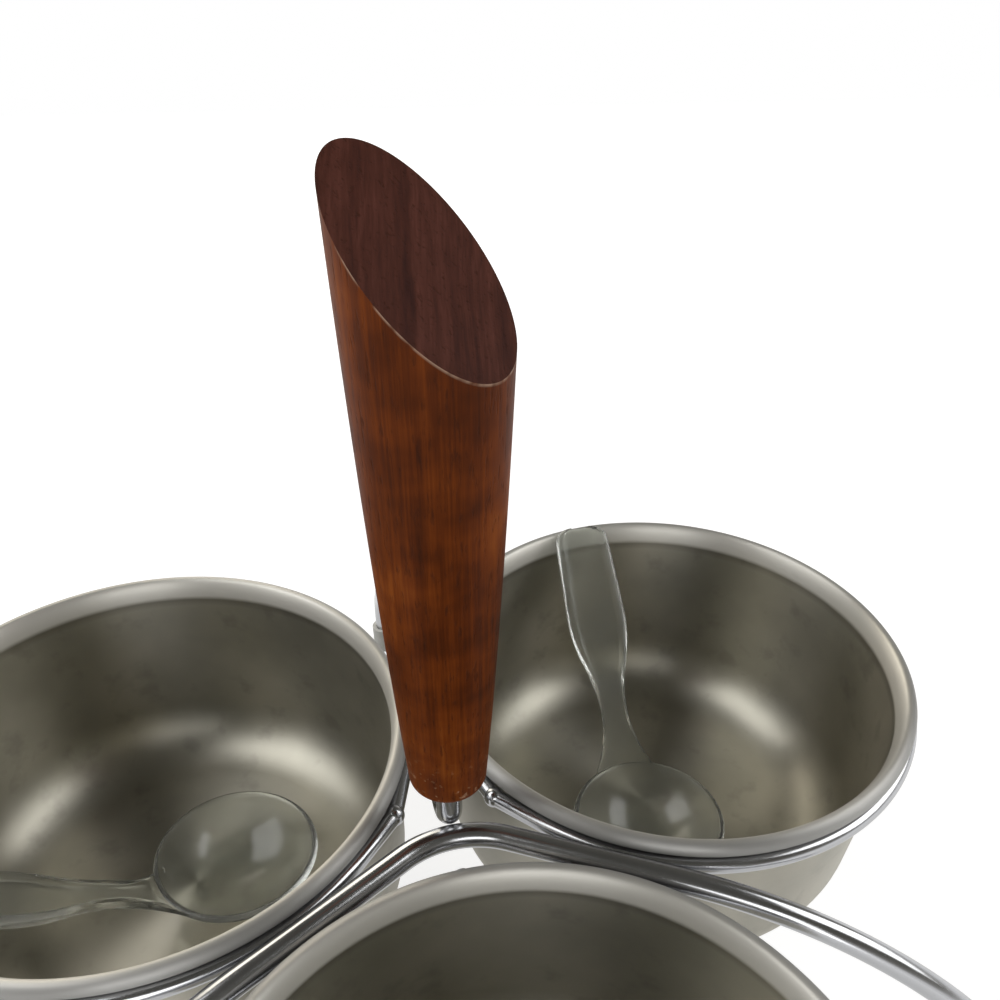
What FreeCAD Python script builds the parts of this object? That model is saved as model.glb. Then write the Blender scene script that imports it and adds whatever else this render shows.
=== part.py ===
import FreeCAD, Part
import math
import os
import re

import Sketcher
from FreeCAD import Matrix, Placement, Rotation, Vector

# A three-bowl condiment caddy: bent wire legs and rings, lift-out steel bowls with a spoon each,
# and a tapered wooden carrying handle on the centre post. +Z is up, the table is at zero height
# and the post's axis is the origin. The front bowl is towards -Y.

# Driving sizes in millimetres, angles in degrees
SIZES = {
    "bowl_rim_radius": 54.35,
    "rim_curl_radius": 1.85,
    "rim_curl_angle": 285.0,
    "bowl_wall": 0.8,
    "bowl_depth": 52.0,
    "bowl_corner_radius": 15.0,
    "bowl_taper_angle": 0.3,
    "rim_height": 58.9,
    "leg_wire_radius": 2.4,
    "leg_sweep_radius": 92.0,
    "leg_ankle_radius": 22.0,
    "leg_foot_length": 8.5,
    "foot_circle_radius": 119.4,
    "apex_bend_radius": 20.0,
    "ring_wire_radius": 1.8,
    "ring_play": 0.45,
    "ring_end_angle": 12.0,
    "ring_weld_rise": 0.35,
    "valley_angle": 23.7,
    "seat_gap": 0.3,
    "weld_gap": 0.05,
    "fit_gap": 0.05,
    "foot_radius": 3.6,
    "foot_floor": 1.5,
    "foot_socket_depth": 7.5,
    "foot_round": 1.0,
    "handle_lift": 11.7,
    "handle_length": 98.0,
    "handle_base_radius": 6.9,
    "handle_top_radius": 10.9,
    "handle_bulge": 0.6,
    "handle_base_round": 2.0,
    "handle_cut_angle": 45.0,
    "handle_cut_azimuth": -45.0,
    "post_depth": 45.0,
    "dish_radius": 18.5,
    "dish_depth": 10.0,
    "spoon_wall": 1.6,
    "spoon_reach": 63.0,
    "neck_width": 7.0,
    "neck_length": 15.5,
    "blade_width": 15.6,
    "blade_end_width": 14.0,
    "blade_start": 41.0,
    "blade_length": 65.0,
    "blade_thickness": 3.0,
    "blade_corner_radius": 4.0,
    "blade_root": 1.0,
    "channel_depth": 1.2,
    "channel_edge": 1.6,
    "overrun": 5.0,
}

# Sizes that follow from the driving ones
DERIVED = {
    # Rolled rim: centre circle of the curl and the wall that runs into it
    "curl_radius": "bowl_rim_radius - rim_curl_radius",
    "curl_inside": "rim_curl_radius - bowl_wall",
    "wall_cos": "cos(bowl_taper_angle)",
    "wall_sin": "sin(bowl_taper_angle)",
    "wall_outer_radius": "curl_radius - curl_inside * wall_cos",
    "curl_end_angle": "180 - bowl_taper_angle - rim_curl_angle",
    # Round corner between the wall and the floor of a bowl
    "corner_inside": "bowl_corner_radius - bowl_wall",
    "wall_drop": "bowl_depth + curl_inside * wall_sin - bowl_corner_radius",
    "floor_radius": "wall_outer_radius - (wall_drop * wall_sin + bowl_corner_radius) / wall_cos",
    # A ring clears the wall and carries the curl from below
    "ring_radius": "wall_outer_radius + ring_play + ring_wire_radius",
    "seat_reach": "rim_curl_radius + ring_wire_radius + seat_gap",
    "ring_drop": "sqrt(seat_reach ^ 2 - (ring_radius - curl_radius) ^ 2)",
    "ring_height": "rim_height - ring_drop",
    # The ends of a ring run straight to a welded point on the side of the post
    "ring_end_run": "ring_radius * tan(ring_end_angle)",
    "ring_peak_radius": "ring_radius / cos(ring_end_angle)",
    "ring_weld_radius": "ring_wire_radius + ring_weld_rise",
    # The leg wires lie in the valleys between neighbouring rings
    "weld_reach": "leg_wire_radius + ring_wire_radius + weld_gap",
    "bowl_circle_radius": "(ring_radius + weld_reach * cos(valley_angle)) / sin(60)",
    "leg_height": "ring_height + weld_reach * sin(valley_angle)",
    # One leg: foot, ankle bend, long sweep and level run to the centre
    "leg_rise": "leg_height - foot_floor - leg_foot_length",
    "sweep_angle": "acos((leg_sweep_radius - leg_rise) / (leg_sweep_radius - leg_ankle_radius))",
    "ankle_angle": "90 deg - sweep_angle",
    "leg_reach": "leg_sweep_radius * sin(sweep_angle) + leg_ankle_radius * (1 - sin(sweep_angle))",
    "run_start": "foot_circle_radius - leg_reach",
    "front_run": "run_start - apex_bend_radius * tan(30)",
    # The post's elbow just touches the apex of the front wire
    "wire_pitch": "2 * leg_wire_radius + weld_gap",
    "apex_setback": "apex_bend_radius * (1 / cos(30) - 1)",
    "apex_room": "wire_pitch - apex_setback",
    "elbow_radius": "apex_room + sqrt(2 * wire_pitch * apex_room)",
    "rear_run": "run_start - elbow_radius",
    "handle_base_height": "rim_height + handle_lift",
    "post_run": "handle_base_height + post_depth - leg_height - elbow_radius",
    # Handle profile: a shallow arc from the base to the top
    "handle_chord": "hypot(handle_length; handle_top_radius - handle_base_radius)",
    "handle_arc_radius": "handle_chord ^ 2 / (8 * handle_bulge) + handle_bulge / 2",
    "post_bore_radius": "leg_wire_radius + fit_gap",
    # Spoon dish: part of a sphere
    "dish_sphere": "(dish_radius ^ 2 + dish_depth ^ 2) / (2 * dish_depth)",
    "lip_radius": "dish_radius * (1 - spoon_wall / dish_sphere)",
    "lip_height": "dish_depth + spoon_wall * (1 - dish_depth / dish_sphere)",
    # Spoon handle: rises from the lip and just clears the rim that it leans on
    "blade_rise": "bowl_depth - bowl_wall - seat_gap - dish_depth",
    "blade_span": "spoon_reach - lip_radius",
    "blade_line": "hypot(blade_rise; blade_span)",
    "blade_angle": "atan(blade_rise / blade_span) + asin((rim_curl_radius + seat_gap) / blade_line)",
    "blade_drop": "lip_radius * sin(blade_angle) + (dish_sphere - dish_depth) * cos(blade_angle)",
    "rim_over_sphere": "bowl_depth - bowl_wall - seat_gap - dish_sphere",
    "blade_flare": "(blade_width - neck_width) / 2",
    "blade_sweep": "blade_start - neck_length",
    "blade_curve": "(blade_sweep ^ 2 + blade_flare ^ 2) / (4 * blade_flare)",
    "blade_turn": "asin(blade_sweep / (2 * blade_curve))",
}

ARM_TURN = 120
BOWL_AZIMUTHS = {"front": -90, "right": 30, "left": 150}
SPOON_AZIMUTHS = {"front": -28, "right": 91.4, "left": 212}
SPOON_REACH_SHARES = {"front": 1.0, "right": 1.05, "left": 0.98}
SPOON_OFFSET_SHARES = {"front": 0.05, "right": 0.1, "left": 0.137}
LEG_AZIMUTHS = {"right": -30, "back": 90, "left": 210}
UP = Vector(0, 0, 1)

doc = FreeCAD.newDocument("condiment_caddy")


def full(formula):
    """Write each size's name in a formula with the sheet that holds it."""

    def place(match):
        name = match.group(0)
        if name in SIZES:
            return "Sizes." + name
        if name in DERIVED:
            return "Derived." + name
        return name

    return re.sub(r"[a-z_]+", place, formula)


def make_sheets():
    sizes = doc.addObject("Spreadsheet::Sheet", "Sizes")
    for row, (alias, number) in enumerate(SIZES.items(), 1):
        sizes.set(f"A{row}", alias)
        sizes.set(f"B{row}", str(number))
        sizes.setAlias(f"B{row}", alias)
    doc.recompute()
    derived = doc.addObject("Spreadsheet::Sheet", "Derived")
    for row, (alias, formula) in enumerate(DERIVED.items(), 1):
        derived.set(f"A{row}", alias)
        derived.set(f"B{row}", "=" + full(formula))
        derived.setAlias(f"B{row}", alias)
        doc.recompute()
    return sizes


sizes_sheet = make_sheets()


def value(formula):
    """The present number that a formula gives."""
    result = sizes_sheet.evalExpression(full(formula))
    return float(getattr(result, "Value", result))


def bind(target, prop, formula):
    target.setExpression(prop, full(formula))


def polar(radius, azimuth, height=0.0):
    angle = math.radians(azimuth)
    return Vector(radius * math.cos(angle), radius * math.sin(angle), height)


def frame(origin, x_axis, y_axis):
    """A placement with its local X and Y along two square directions."""
    z_axis = x_axis.cross(y_axis)
    turn = Matrix(
        x_axis.x, y_axis.x, z_axis.x, 0,
        x_axis.y, y_axis.y, z_axis.y, 0,
        x_axis.z, y_axis.z, z_axis.z, 0,
        0, 0, 0, 1,
    )
    return Placement(origin, Rotation(turn))


# Sketches


def sketch_on(body, name, role):
    sketch = body.newObject("Sketcher::SketchObject", name)
    planes = [plane for plane in body.Origin.OriginFeatures if plane.Role == role]
    sketch.AttachmentSupport = [(planes[0], "")]
    sketch.MapMode = "FlatFace"
    return sketch


def arc_geometry(start, end, radius, bulge):
    """The arc from start to end; bulge is +1 where it runs anticlockwise, -1 where clockwise.
    A bulge of 2 or -2 takes the long way round."""
    chord = end - start
    half = chord.Length / 2
    rise = math.sqrt(max(radius ** 2 - half ** 2, 0))
    side = Vector(-chord.y, chord.x, 0).normalize()
    turn = 1 if bulge > 0 else -1
    long_way = -1 if abs(bulge) == 2 else 1
    centre = start + chord * 0.5 + side * (rise * turn * long_way)
    first, last = (start, end) if turn > 0 else (end, start)
    angles = [math.atan2(point.y - centre.y, point.x - centre.x) for point in (first, last)]
    if angles[1] <= angles[0]:
        angles[1] += 2 * math.pi
    return Part.ArcOfCircle(Part.Circle(centre, UP, radius), *angles)


def draw_outline(sketch, points, arcs):
    """A closed outline. Points are pairs of formulas. arcs maps an edge's number, counted from
    its first point, to (radius formula, bulge); every other edge is straight."""
    places = [Vector(value(x), value(y), 0) for x, y in points]
    count = len(points)
    ends = []
    for index in range(count):
        start, end = places[index], places[(index + 1) % count]
        if index in arcs:
            radius, bulge = arcs[index]
            geometry = sketch.addGeometry(arc_geometry(start, end, value(radius), bulge))
            ends.append((geometry, 1, 2) if bulge > 0 else (geometry, 2, 1))
        else:
            geometry = sketch.addGeometry(Part.LineSegment(start, end))
            ends.append((geometry, 1, 2))
    for index in range(count):
        here, before = ends[index], ends[index - 1]
        sketch.addConstraint(Sketcher.Constraint("Coincident", before[0], before[2], here[0], here[1]))
        for axis, formula, across in (("X", points[index][0], -2), ("Y", points[index][1], -1)):
            if formula == "0":
                sketch.addConstraint(Sketcher.Constraint("PointOnObject", here[0], here[1], across))
            else:
                rule = Sketcher.Constraint("Distance" + axis, -1, 1, here[0], here[1], value(formula))
                number = sketch.addConstraint(rule)
                bind(sketch, f"Constraints[{number}]", formula)
    for index, (radius, bulge) in arcs.items():
        number = sketch.addConstraint(Sketcher.Constraint("Radius", ends[index][0], value(radius)))
        bind(sketch, f"Constraints[{number}]", radius)


def revolved(label, points, arcs):
    """A turned piece: its outline lies in the XZ plane and is turned about Z."""
    body = doc.addObject("PartDesign::Body", label)
    sketch = sketch_on(body, label + "_profile", "XZ_Plane")
    draw_outline(sketch, points, arcs)
    turned = body.newObject("PartDesign::Revolution", label + "_turned")
    turned.Profile = sketch
    turned.ReferenceAxis = (sketch, ["V_Axis"])
    body.Label = label
    return body


# Bent wire


class BentWire:
    """A round wire grown from one end by straight runs and bends, then fused into one solid."""

    def __init__(self, label, start, heading):
        self.label, self.at, self.heading, self.pieces = label, start, heading, []

    def name(self, word):
        return f"{self.label}_{word}_{len(self.pieces)}"

    def run(self, length):
        piece = doc.addObject("Part::Cylinder", self.name("run"))
        bind(piece, "Radius", "leg_wire_radius")
        bind(piece, "Height", length)
        piece.Placement = Placement(self.at, Rotation(UP, self.heading))
        self.pieces.append(piece)
        self.at = self.at + self.heading * value(length)

    def bend(self, radius, angle, towards):
        piece = doc.addObject("Part::Torus", self.name("bend"))
        bind(piece, "Radius1", radius)
        bind(piece, "Radius2", "leg_wire_radius")
        bind(piece, "Angle3", angle)
        centre = self.at + towards * value(radius)
        piece.Placement = frame(centre, -towards, self.heading)
        self.pieces.append(piece)
        turn = math.radians(value(angle))
        old_heading = self.heading
        self.at = centre + (old_heading * math.sin(turn) - towards * math.cos(turn)) * value(radius)
        self.heading = old_heading * math.cos(turn) + towards * math.sin(turn)

    def leg_up(self, inwards):
        """From the foot up to the level run, heading for the post."""
        self.run("leg_foot_length")
        self.bend("leg_ankle_radius", "ankle_angle", inwards)
        across = inwards * math.cos(math.radians(value("ankle_angle")))
        self.bend("leg_sweep_radius", "sweep_angle", across - UP * math.sin(math.radians(value("ankle_angle"))))

    def leg_down(self):
        """From the level run out and down to the foot."""
        outwards = self.heading
        self.bend("leg_sweep_radius", "sweep_angle", -UP)
        slope = math.radians(value("sweep_angle"))
        self.bend("leg_ankle_radius", "ankle_angle", -outwards * math.sin(slope) - UP * math.cos(slope))
        self.run("leg_foot_length")

    def finish(self):
        wire = doc.addObject("Part::MultiFuse", self.label)
        wire.Shapes = self.pieces
        wire.Refine = True
        wire.Label = self.label
        return wire


def foot_point(azimuth):
    return polar(value("foot_circle_radius"), azimuth, value("foot_floor"))


def front_leg_wire():
    """The two front legs and the V between them, bent from one wire."""
    right, left = LEG_AZIMUTHS["right"], LEG_AZIMUTHS["left"]
    wire = BentWire("front_leg_wire", foot_point(right), UP)
    wire.leg_up(-polar(1, right))
    wire.run("front_run")
    wire.bend("apex_bend_radius", str(180 - ARM_TURN), polar(1, right - 90))
    wire.run("front_run")
    wire.leg_down()
    return wire.finish()


def rear_leg_wire():
    """The rear leg, its level run and the post, bent up at the centre from the same wire."""
    back = LEG_AZIMUTHS["back"]
    wire = BentWire("rear_leg_post_wire", foot_point(back), UP)
    wire.leg_up(-polar(1, back))
    wire.run("rear_run")
    wire.bend("elbow_radius", "90", UP)
    wire.run("post_run")
    return wire.finish()


# Rings


def ring_end(label, peak, heading):
    """The straight last length of a ring, grown from the welded point back to the round part."""
    piece = doc.addObject("Part::Cylinder", label)
    bind(piece, "Radius", "ring_wire_radius")
    bind(piece, "Height", "ring_end_run")
    piece.Placement = Placement(peak, Rotation(UP, heading))
    return piece


def ball(label, centre, radius):
    piece = doc.addObject("Part::Sphere", label)
    bind(piece, "Radius", radius)
    piece.Placement = Placement(centre, Rotation())
    piece.Label = label
    return piece


def bowl_ring(side):
    """A wire ring whose straight ends meet on the side of the post, and the weld that joins them."""
    azimuth = BOWL_AZIMUTHS[side]
    centre = polar(value("bowl_circle_radius"), azimuth, value("ring_height"))
    joint = azimuth + 180
    half = value("ring_end_angle")
    arc = doc.addObject("Part::Torus", f"ring_arc_{side}")
    bind(arc, "Radius1", "ring_radius")
    bind(arc, "Radius2", "ring_wire_radius")
    bind(arc, "Angle3", "360 - 2 * ring_end_angle")
    arc.Placement = Placement(centre, Rotation(UP, joint + half))
    peak = centre + polar(value("ring_peak_radius"), joint)
    ends = [ring_end(f"ring_end_{side}_{turn}", peak, polar(1, joint + (90 + half) * turn)) for turn in (1, -1)]
    loop = doc.addObject("Part::MultiFuse", f"ring_loop_{side}")
    loop.Shapes = [arc] + ends
    loop.Refine = True
    ring = doc.addObject("Part::Cut", f"ring_{side}")
    ring.Base = loop
    ring.Tool = ball(f"weld_room_{side}", peak, "ring_weld_radius + fit_gap")
    ring.Label = f"ring_{side}"
    return [ring, ball(f"ring_weld_{side}", peak, "ring_weld_radius")]


# Feet


def foot_tip(side):
    """A soft tip pushed over the end of a leg, flat below where it stands."""
    top = "foot_floor + foot_socket_depth"
    socket = "leg_wire_radius + fit_gap"
    points = [("0", "0"), ("foot_radius - foot_round", "0"), ("foot_radius", "foot_round"),
              ("foot_radius", top), (socket, top), (socket, "foot_floor"), ("0", "foot_floor")]
    tip = revolved(f"foot_tip_{side}", points, {1: ("foot_round", 1)})
    tip.Placement = Placement(polar(value("foot_circle_radius"), LEG_AZIMUTHS[side]), Rotation())
    return tip


# Bowls


def bowl(side):
    """A drawn steel bowl: flat floor, round corner, slightly tapered wall and outward rolled rim."""
    curl_z = "bowl_depth"
    end_cos, end_sin = "cos(curl_end_angle)", "sin(curl_end_angle)"

    def on_curl(radius):
        return (f"curl_radius - {radius} * wall_cos", f"{curl_z} + {radius} * wall_sin")

    def curl_end(radius):
        return (f"curl_radius + {radius} * {end_cos}", f"{curl_z} + {radius} * {end_sin}")

    def on_corner(radius):
        return (f"floor_radius + {radius} * wall_cos", f"bowl_corner_radius - {radius} * wall_sin")

    points = [
        ("0", "0"),
        ("floor_radius", "0"),
        on_corner("bowl_corner_radius"),
        on_curl("curl_inside"),
        curl_end("curl_inside"),
        curl_end("rim_curl_radius"),
        on_curl("rim_curl_radius"),
        on_corner("corner_inside"),
        ("floor_radius", "bowl_wall"),
        ("0", "bowl_wall"),
    ]
    arcs = {
        1: ("bowl_corner_radius", 1),
        3: ("curl_inside", -2),
        5: ("rim_curl_radius", 2),
        7: ("corner_inside", -1),
    }
    body = revolved(f"bowl_{side}", points, arcs)
    body.Placement = Placement(bowl_base(side), Rotation())
    return body


def bowl_base(side):
    return polar(value("bowl_circle_radius"), BOWL_AZIMUTHS[side], value("rim_height - bowl_depth"))


# Spoons


def blade_outline(edge):
    """Half-width of the spoon's handle along its length, drawn in by edge on every side."""
    centre_y = f"(neck_width / 2 + blade_curve)"
    half = [
        (f"neck_length", f"neck_width / 2 - {edge}"),
        (f"neck_length + (blade_curve + {edge}) * sin(blade_turn)",
         f"{centre_y} - (blade_curve + {edge}) * cos(blade_turn)"),
        (f"blade_start", f"blade_width / 2 - {edge}"),
        (f"blade_length - blade_corner_radius", f"blade_end_width / 2 - {edge}"),
        (f"blade_length - {edge}", f"blade_end_width / 2 - blade_corner_radius"),
    ]
    return half


def draw_blade(sketch, edge, root):
    """The closed outline of the handle; root is where it starts along its length."""
    half = blade_outline(edge)
    other = [(x, f"-({y})") for x, y in half]
    start = (root, half[0][1])
    points = [(root, other[0][1])] + other + half[::-1] + [start]
    arcs = {
        1: (f"blade_curve + {edge}", -1),
        2: (f"blade_curve - {edge}", 1),
        4: (f"blade_corner_radius - {edge}", 1),
        6: (f"blade_corner_radius - {edge}", 1),
        8: (f"blade_curve - {edge}", 1),
        9: (f"blade_curve + {edge}", -1),
    }
    draw_outline(sketch, points, arcs)


def tilt(sketch, lift):
    """Lay a handle sketch in the rising plane that starts at the dish's lip."""
    bind(sketch, "AttachmentOffset.Base.x", f"lip_radius - ({lift}) * sin(blade_angle)")
    bind(sketch, "AttachmentOffset.Base.z", f"dish_depth + ({lift}) * cos(blade_angle)")
    sketch.AttachmentOffset = Placement(Vector(), Rotation(Vector(0, -1, 0), value("blade_angle")))
    bind(sketch, "AttachmentOffset.Rotation.Angle", "blade_angle")


def spoon(side):
    """A clear spoon: round dish on the bowl's floor, handle with raised edges leaning on the rim."""
    label = f"spoon_{side}"
    points = [("0", "0"), ("dish_radius", "dish_depth"), ("lip_radius", "lip_height"), ("0", "spoon_wall")]
    arcs = {0: ("dish_sphere", 1), 2: ("dish_sphere - spoon_wall", -1)}
    body = revolved(label, points, arcs)
    blade = sketch_on(body, label + "_blade", "XY_Plane")
    draw_blade(blade, "0", "-blade_root")
    tilt(blade, "0")
    pad = body.newObject("PartDesign::Pad", label + "_handle")
    pad.Profile = blade
    bind(pad, "Length", "blade_thickness")
    doc.recompute()
    channel = sketch_on(body, label + "_channel", "XY_Plane")
    draw_blade(channel, "channel_edge", "blade_root")
    tilt(channel, "blade_thickness")
    pocket = body.newObject("PartDesign::Pocket", label + "_recess")
    pocket.Profile = channel
    bind(pocket, "Length", "channel_depth")
    doc.recompute()
    body.Placement = spoon_seat(side)
    return body


def spoon_seat(side):
    """The dish stands on the bowl's floor and rolls there until the handle lies on the rim, which
    curves in under the handle's two sides."""
    rim, azimuth = value("curl_radius"), SPOON_AZIMUTHS[side]
    offset = rim * SPOON_OFFSET_SHARES[side]
    setback = value("spoon_reach") * SPOON_REACH_SHARES[side] - math.sqrt(rim ** 2 - offset ** 2)
    nearest = setback + math.sqrt(rim ** 2 - (offset + value("blade_width / 2")) ** 2)
    rise = value("rim_over_sphere")
    clear = value("blade_drop + rim_curl_radius + seat_gap")
    slope = math.atan2(rise, nearest) + math.asin(clear / math.hypot(nearest, rise))
    lean = Rotation(Vector(0, -1, 0), math.degrees(slope) - value("blade_angle"))
    pivot = UP * value("dish_sphere")
    stand = bowl_base(side) + polar(-setback, azimuth, value("bowl_wall + seat_gap")) + polar(offset, azimuth + 90)
    turned = Placement(stand + pivot, Rotation(UP, azimuth) * lean)
    return turned * Placement(-pivot, Rotation())


# Handle


def wood_handle():
    """A tapered dowel with a rounded lower edge, bored for the post and cut off at a slant."""
    arc_end = ("handle_top_radius", "handle_length")
    points = [
        ("post_bore_radius", "0"),
        ("handle_base_radius - handle_base_round", "0"),
        ("handle_base_radius", "handle_base_round"),
        arc_end,
        ("handle_top_radius", "handle_length + overrun"),
        ("0", "handle_length + overrun"),
        ("0", "post_depth"),
        ("post_bore_radius", "post_depth"),
    ]
    blank = revolved("handle_blank", points, {1: ("handle_base_round", 1), 2: ("handle_arc_radius", -1)})
    blank.Placement = Placement(Vector(0, 0, value("handle_base_height")), Rotation())
    saw = doc.addObject("Part::Box", "handle_saw")
    for prop in ("Length", "Width", "Height"):
        bind(saw, prop, "4 * handle_top_radius + overrun")
    slope = math.radians(value("handle_cut_angle"))
    low_side = polar(1, value("handle_cut_azimuth"))
    level = polar(1, value("handle_cut_azimuth") + 90)
    downhill = low_side * math.cos(slope) - UP * math.sin(slope)
    top = UP * value("handle_base_height + handle_length") - low_side * value("handle_top_radius")
    corner = top - downhill * value("overrun") - level * value("(4 * handle_top_radius + overrun) / 2")
    saw.Placement = frame(corner, downhill, level)
    handle = doc.addObject("Part::Cut", "wood_handle")
    handle.Base = blank
    handle.Tool = saw
    handle.Label = "wood_handle"
    return handle


def build():
    nodes = [front_leg_wire(), rear_leg_wire(), wood_handle()]
    for side in BOWL_AZIMUTHS:
        nodes += bowl_ring(side)
        nodes += [bowl(side), spoon(side)]
    nodes += [foot_tip(side) for side in LEG_AZIMUTHS]
    doc.recompute()
    return nodes


def check(nodes):
    for item in doc.Objects:
        if "Invalid" in item.State or "Error" in item.State:
            raise RuntimeError(f"{item.Label} failed: {item.State}")
    for node in nodes:
        shape = node.Shape
        if shape.isNull() or not shape.isValid() or len(shape.Solids) != 1:
            raise RuntimeError(f"{node.Label} is not one valid solid")
        print(f"{node.Label}: {shape.Volume:.1f} mm3")


def export(nodes):
    os.makedirs("parts", exist_ok=True)
    for node in nodes:
        node.Shape.exportStep(f"parts/{node.Label}.step")


caddy = build()
check(caddy)
export(caddy)
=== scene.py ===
import math

import bpy
from mathutils import Matrix, Vector


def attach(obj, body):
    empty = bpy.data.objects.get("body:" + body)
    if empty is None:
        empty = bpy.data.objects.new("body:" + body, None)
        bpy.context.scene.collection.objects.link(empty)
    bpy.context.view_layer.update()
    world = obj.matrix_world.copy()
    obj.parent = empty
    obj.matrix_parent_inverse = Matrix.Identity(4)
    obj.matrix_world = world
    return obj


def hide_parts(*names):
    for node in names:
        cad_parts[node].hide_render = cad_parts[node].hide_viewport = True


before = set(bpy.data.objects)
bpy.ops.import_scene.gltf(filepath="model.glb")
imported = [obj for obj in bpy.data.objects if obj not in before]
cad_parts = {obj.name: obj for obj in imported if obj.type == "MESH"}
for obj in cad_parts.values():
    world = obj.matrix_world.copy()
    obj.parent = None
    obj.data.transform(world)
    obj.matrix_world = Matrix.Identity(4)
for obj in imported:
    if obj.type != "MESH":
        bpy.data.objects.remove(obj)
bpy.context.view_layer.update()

MM = 0.001
UP = Vector((0, 0, 1))
DEGREE = math.pi / 180
RIGHT_ANGLE = math.pi / 2
OVERRUN = 5 * MM
MERGE_DISTANCE = 0.001 * MM
CUT_TOLERANCE = 0.0001 * MM
NEARLY_ONE = 0.99
SMOOTH_ANGLE = 35 * DEGREE
SPOON_SMOOTH_ANGLE = 50 * DEGREE

# Fineness of the meshes: faces round turned pieces and wires, and steps along bends and curves
LATHE_STEPS = 180
HANDLE_LATHE_STEPS = 240
DISH_LATHE_STEPS = 96
TIP_LATHE_STEPS = 48
WIRE_FACES = 40
BEAD_FACES, BEAD_BANDS = 40, 24
BALL_FACES, BALL_BANDS = 96, 48
ANKLE_STEPS, SWEEP_STEPS = 14, 30
APEX_STEPS, ELBOW_STEPS = 20, 16
RING_STEPS = 200
CORNER_STEPS, CURL_STEPS, SHOULDER_STEPS = 14, 24, 18
TIP_STEPS, TIP_LIP_STEPS = 8, 5
HANDLE_ROUND_STEPS, HANDLE_STEPS = 10, 64
DISH_STEPS, LIP_STEPS = 24, 8
BLADE_STEP, BLADE_END_STEPS = 2 * MM, 6

# Sizes of the object, in metres; wires, curls, rims and rings by their radius
RIM_HEIGHT = 58.9 * MM
BOWL_RIM = 54.35 * MM
BOWL_DEPTH = 52 * MM
BOWL_WALL = 0.8 * MM
BOWL_CORNER = 15 * MM
BOWL_TAPER = 0.3 * DEGREE
CURL = 1.85 * MM
CURL_TURN = 285 * DEGREE
CURL_CENTRE = BOWL_RIM - CURL
RIM_BAND = 3 * MM
BOWL_BASE = RIM_HEIGHT - BOWL_DEPTH

WIRE = 2.4 * MM
RING_WIRE = 1.8 * MM
RING_PLAY = 0.45 * MM
RING_END = 12 * DEGREE
WELD_RAISE = 0.35 * MM
WELD_BALL = RING_WIRE + WELD_RAISE
SEAT_GAP = 0.3 * MM
WELD_GAP = 0.05 * MM
VALLEY = 23.7 * DEGREE
WALL_TOP = CURL_CENTRE - (CURL - BOWL_WALL) * math.cos(BOWL_TAPER)
RING_RADIUS = WALL_TOP + RING_PLAY + RING_WIRE
SEAT_REACH = CURL + RING_WIRE + SEAT_GAP
SEAT_DROP = math.sqrt(SEAT_REACH ** 2 - (RING_RADIUS - CURL_CENTRE) ** 2)
RING_HEIGHT = RIM_HEIGHT - SEAT_DROP
WELD_REACH = WIRE + RING_WIRE + WELD_GAP
BOWL_HALF_ANGLE = 60 * DEGREE
BOWL_CIRCLE = (RING_RADIUS + WELD_REACH * math.cos(VALLEY)) / math.sin(BOWL_HALF_ANGLE)
LEG_HEIGHT = RING_HEIGHT + WELD_REACH * math.sin(VALLEY)

FOOT_CIRCLE = 119.4 * MM
FOOT_FLOOR = 1.5 * MM
FOOT_LENGTH = 8.5 * MM
FOOT_RADIUS = 3.6 * MM
FOOT_SOCKET = 7.5 * MM
FOOT_ROUND = 1 * MM
FOOT_LIP = 0.3 * MM
SWEEP_RADIUS = 92 * MM
ANKLE_RADIUS = 22 * MM
LEG_RISE = LEG_HEIGHT - FOOT_FLOOR - FOOT_LENGTH
SWEEP = math.acos((SWEEP_RADIUS - LEG_RISE) / (SWEEP_RADIUS - ANKLE_RADIUS))
ANKLE = RIGHT_ANGLE - SWEEP
LEG_SPAN = SWEEP_RADIUS * math.sin(SWEEP) + ANKLE_RADIUS * (1 - math.sin(SWEEP))
RUN_START = FOOT_CIRCLE - LEG_SPAN
APEX_RADIUS = 20 * MM
APEX_TURN = 60 * DEGREE
PITCH = 2 * WIRE + WELD_GAP
APEX_ROOM = PITCH - APEX_RADIUS * (1 / math.cos(APEX_TURN / 2) - 1)
ELBOW_RADIUS = APEX_ROOM + math.sqrt(2 * PITCH * APEX_ROOM)

HANDLE_CLEARANCE = 11.7 * MM
HANDLE_BASE = RIM_HEIGHT + HANDLE_CLEARANCE
HANDLE_LENGTH = 98 * MM
HANDLE_BASE_RADIUS = 6.9 * MM
HANDLE_TOP_RADIUS = 10.9 * MM
HANDLE_BULGE = 0.6 * MM
HANDLE_ROUND = 2 * MM
HANDLE_CUT_AZIMUTH = -45 * DEGREE
HANDLE_CUT_SLOPE = 45 * DEGREE
POST_DEPTH = 45 * MM
BORE_PLAY = 0.05 * MM
BORE = WIRE + BORE_PLAY

DISH_RADIUS = 18.5 * MM
DISH_DEPTH = 10 * MM
SPOON_WALL = 1.6 * MM
SPOON_REACH = 63 * MM
NECK_WIDTH = 7 * MM
NECK_LENGTH = 15.5 * MM
BLADE_WIDTH = 15.6 * MM
BLADE_END_WIDTH = 14 * MM
BLADE_START = 41 * MM
NECK_SPREAD = 3.2 * MM
BLADE_LENGTH = 65 * MM
BLADE_THICKNESS = 3 * MM
BLADE_CORNER = 4 * MM
CHANNEL_DEPTH = 1.2 * MM
CHANNEL_EDGE = 1.6 * MM
# Shares of half the handle's width and of its thickness, for its section
EDGE_ROUND = 0.12
SIDE_FOOT, SIDE_HEAD = 0.35, 0.8
BELLY_WIDTH, BELLY_RISE = 0.5, 0.08
CHANNEL_FLOOR = 1 - CHANNEL_DEPTH / BLADE_THICKNESS
NECK_THICKNESS, END_THICKNESS = 0.5, 0.8
# Share of the end's corner from which the handle is thinner
THIN_FROM = 0.6

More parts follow.
